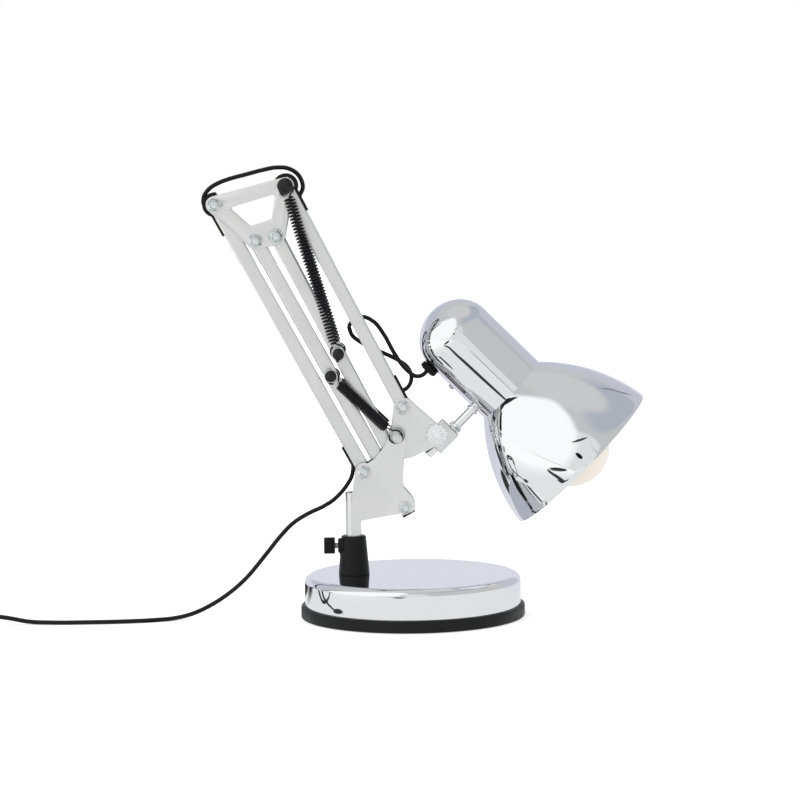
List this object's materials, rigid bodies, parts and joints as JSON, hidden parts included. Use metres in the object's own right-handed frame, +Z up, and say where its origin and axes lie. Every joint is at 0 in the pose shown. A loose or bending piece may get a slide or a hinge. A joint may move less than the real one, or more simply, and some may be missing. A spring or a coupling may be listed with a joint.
{
  "type": "accordion desk lamp",
  "caption": "Spring-balanced desk lamp with two folding parallelogram arms, a weighted round base, a tilting bell shade and a coiled mains lead.",
  "frame": {"origin": "centre of the base's underside, on the table", "axes": "+Z up; +X from the arms towards the shade; the arms lie in the XZ plane; +Y away from the clamp knobs' side"},
  "size_m": [0.6048, 0.1589, 0.3163],
  "materials": {
    "ring_black": "moulded, low sheen",
    "drum_chrome": "polished plating",
    "ballast_iron": "as cast",
    "pad_foam": "black foam",
    "screw_steel": "zinc plated",
    "socket_black": "moulded, smooth",
    "insert_brass": "plain",
    "knob_black": "moulded ribs",
    "bracket_plating": "satin bright plating",
    "bolt_zinc": "bright zinc",
    "bar_plating": "satin bright plating",
    "bush_black": "moulded",
    "lead_black": "smooth sheath",
    "post_steel": "bright zinc",
    "cap_black": "glossy dome",
    "plate_plating": "satin bright plating",
    "spring_black": "black wire",
    "knob_clear": "clear moulded, frosted by its ribs",
    "knuckle_zinc": "die cast, tumbled",
    "stem_chrome": "plated",
    "housing_chrome": "mirror plating",
    "shade_chrome": "mirror plating",
    "holder_black": "moulded",
    "bulb_frosted": "frosted warm white",
    "cap_nickel": "nickel plated",
    "gland_black": "ribbed",
    "tie_black": "soft band",
    "switch_black": "moulded, fine texture",
    "rocker_black": "moulded",
    "plug_black": "moulded soft plastic",
    "pin_nickel": "nickel plated"
  },
  "bodies": {
    "base": {"base_ring": "ring_black", "base_shell": "drum_chrome", "ballast": "ballast_iron", "base_pad": "pad_foam", "base_fasteners": "screw_steel", "socket": "socket_black", "thread_insert": "insert_brass", "lead_tail": "lead_black", "lead_coil": "lead_black", "coil_tie": "tie_black", "switch_body": "switch_black", "plug_body": "plug_black", "plug_pins": "pin_nickel"},
    "thumb_screw": {"thumb_knob": "knob_black", "thumb_shank": "screw_steel"},
    "swivel_bracket": {"lower_bracket": "bracket_plating", "lower_pivot_bolts": "bolt_zinc", "lower_pivot_spacers": "bolt_zinc", "spring_studs": "bolt_zinc", "short_spring_front": "spring_black", "short_spring_rear": "spring_black"},
    "lower_rear_arm": {"lower_rear_bar": "bar_plating", "lower_rear_bar_ends": "bush_black", "lead_lower_run": "lead_black"},
    "lower_front_arm": {"lower_front_bar": "bar_plating", "lower_front_bar_ends": "bush_black", "lower_spring_post": "post_steel", "lower_post_caps": "cap_black"},
    "elbow": {"elbow_plate_front": "plate_plating", "elbow_plate_rear": "plate_plating", "elbow_bolts": "bolt_zinc", "elbow_spring_post": "post_steel", "elbow_post_caps": "cap_black", "long_spring_front": "spring_black", "long_spring_rear": "spring_black", "lead_elbow_loop": "lead_black"},
    "upper_under_arm": {"upper_under_bar": "bar_plating", "upper_under_bar_ends": "bush_black", "upper_spring_post": "post_steel", "upper_post_caps": "cap_black"},
    "upper_top_arm": {"upper_top_bar": "bar_plating", "upper_top_bar_ends": "bush_black", "lead_upper_run": "lead_black"},
    "head_bracket": {"head_plate_front": "plate_plating", "head_plate_rear": "plate_plating", "head_bracket_bolts": "bolt_zinc", "lead_head_loop": "lead_black"},
    "wing_knob": {"wing_knob": "knob_clear"},
    "head": {"knuckle": "knuckle_zinc", "head_stem": "stem_chrome", "stem_nut": "bolt_zinc", "lamp_housing": "housing_chrome", "shade": "shade_chrome", "shade_ring": "holder_black", "lamp_holder": "holder_black", "bulb_glass": "bulb_frosted", "bulb_cap": "cap_nickel", "lead_gland": "gland_black", "housing_screw": "screw_steel"},
    "switch_rocker": {"switch_rocker": "rocker_black"}
  },
  "joints": [
    {"name": "swivel", "type": "hinge", "parent": "base", "child": "swivel_bracket", "pos_m": [-0.041, 0, 0.0574], "axis": [0, 0, 1], "range_deg": [-90, 90], "deforming": ["lead_tail"]},
    {"name": "thumb_screw_turn", "type": "hinge", "parent": "base", "child": "thumb_screw", "pos_m": [-0.055, 0, 0.0504], "axis": [1, 0, 0], "continuous": true},
    {"name": "lower_fold", "type": "hinge", "parent": "swivel_bracket", "child": "lower_rear_arm", "pos_m": [-0.0328, 0, 0.1028], "axis": [0, 1, 0], "range_deg": [0, 70], "deforming": ["short_spring_front", "short_spring_rear"]},
    {"name": "lower_front_pivot", "type": "hinge", "parent": "swivel_bracket", "child": "lower_front_arm", "pos_m": [-0.00486, 0, 0.07764], "axis": [0, 1, 0], "range_deg": [0, 70]},
    {"name": "elbow_level", "type": "hinge", "parent": "lower_rear_arm", "child": "elbow", "pos_m": [-0.13392, 0, 0.28981], "axis": [0, 1, 0], "range_deg": [-70, 0]},
    {"name": "upper_fold", "type": "hinge", "parent": "elbow", "child": "upper_top_arm", "pos_m": [-0.08452, 0, 0.30231], "axis": [0, -1, 0], "range_deg": [0, 120], "deforming": ["long_spring_front", "long_spring_rear", "lead_elbow_loop"]},
    {"name": "upper_under_pivot", "type": "hinge", "parent": "elbow", "child": "upper_under_arm", "pos_m": [-0.09154, 0, 0.26751], "axis": [0, -1, 0], "range_deg": [0, 120]},
    {"name": "head_level", "type": "hinge", "parent": "upper_top_arm", "child": "head_bracket", "pos_m": [-0.0053, 0, 0.1475], "axis": [0, -1, 0], "range_deg": [-120, 0]},
    {"name": "head_tilt", "type": "hinge", "parent": "head_bracket", "child": "head", "pos_m": [0.018, 0, 0.12831], "axis": [0, 1, 0], "range_deg": [-10, 40], "deforming": ["lead_head_loop"]},
    {"name": "wing_knob_turn", "type": "hinge", "parent": "head_bracket", "child": "wing_knob", "pos_m": [0.018, -0.0085, 0.12831], "axis": [0, 1, 0], "continuous": true},
    {"name": "rocker_tilt", "type": "hinge", "parent": "base", "child": "switch_rocker", "pos_m": [-0.33, -0.018, 0.01], "axis": [0, 1, 0], "range_deg": [0, 16]}
  ],
  "couplings": [
    {"joint": "lower_front_pivot", "follows": "lower_fold", "ratio": 1},
    {"joint": "elbow_level", "follows": "lower_fold", "ratio": -1},
    {"joint": "upper_under_pivot", "follows": "upper_fold", "ratio": 1},
    {"joint": "head_level", "follows": "upper_fold", "ratio": -1}
  ]
}
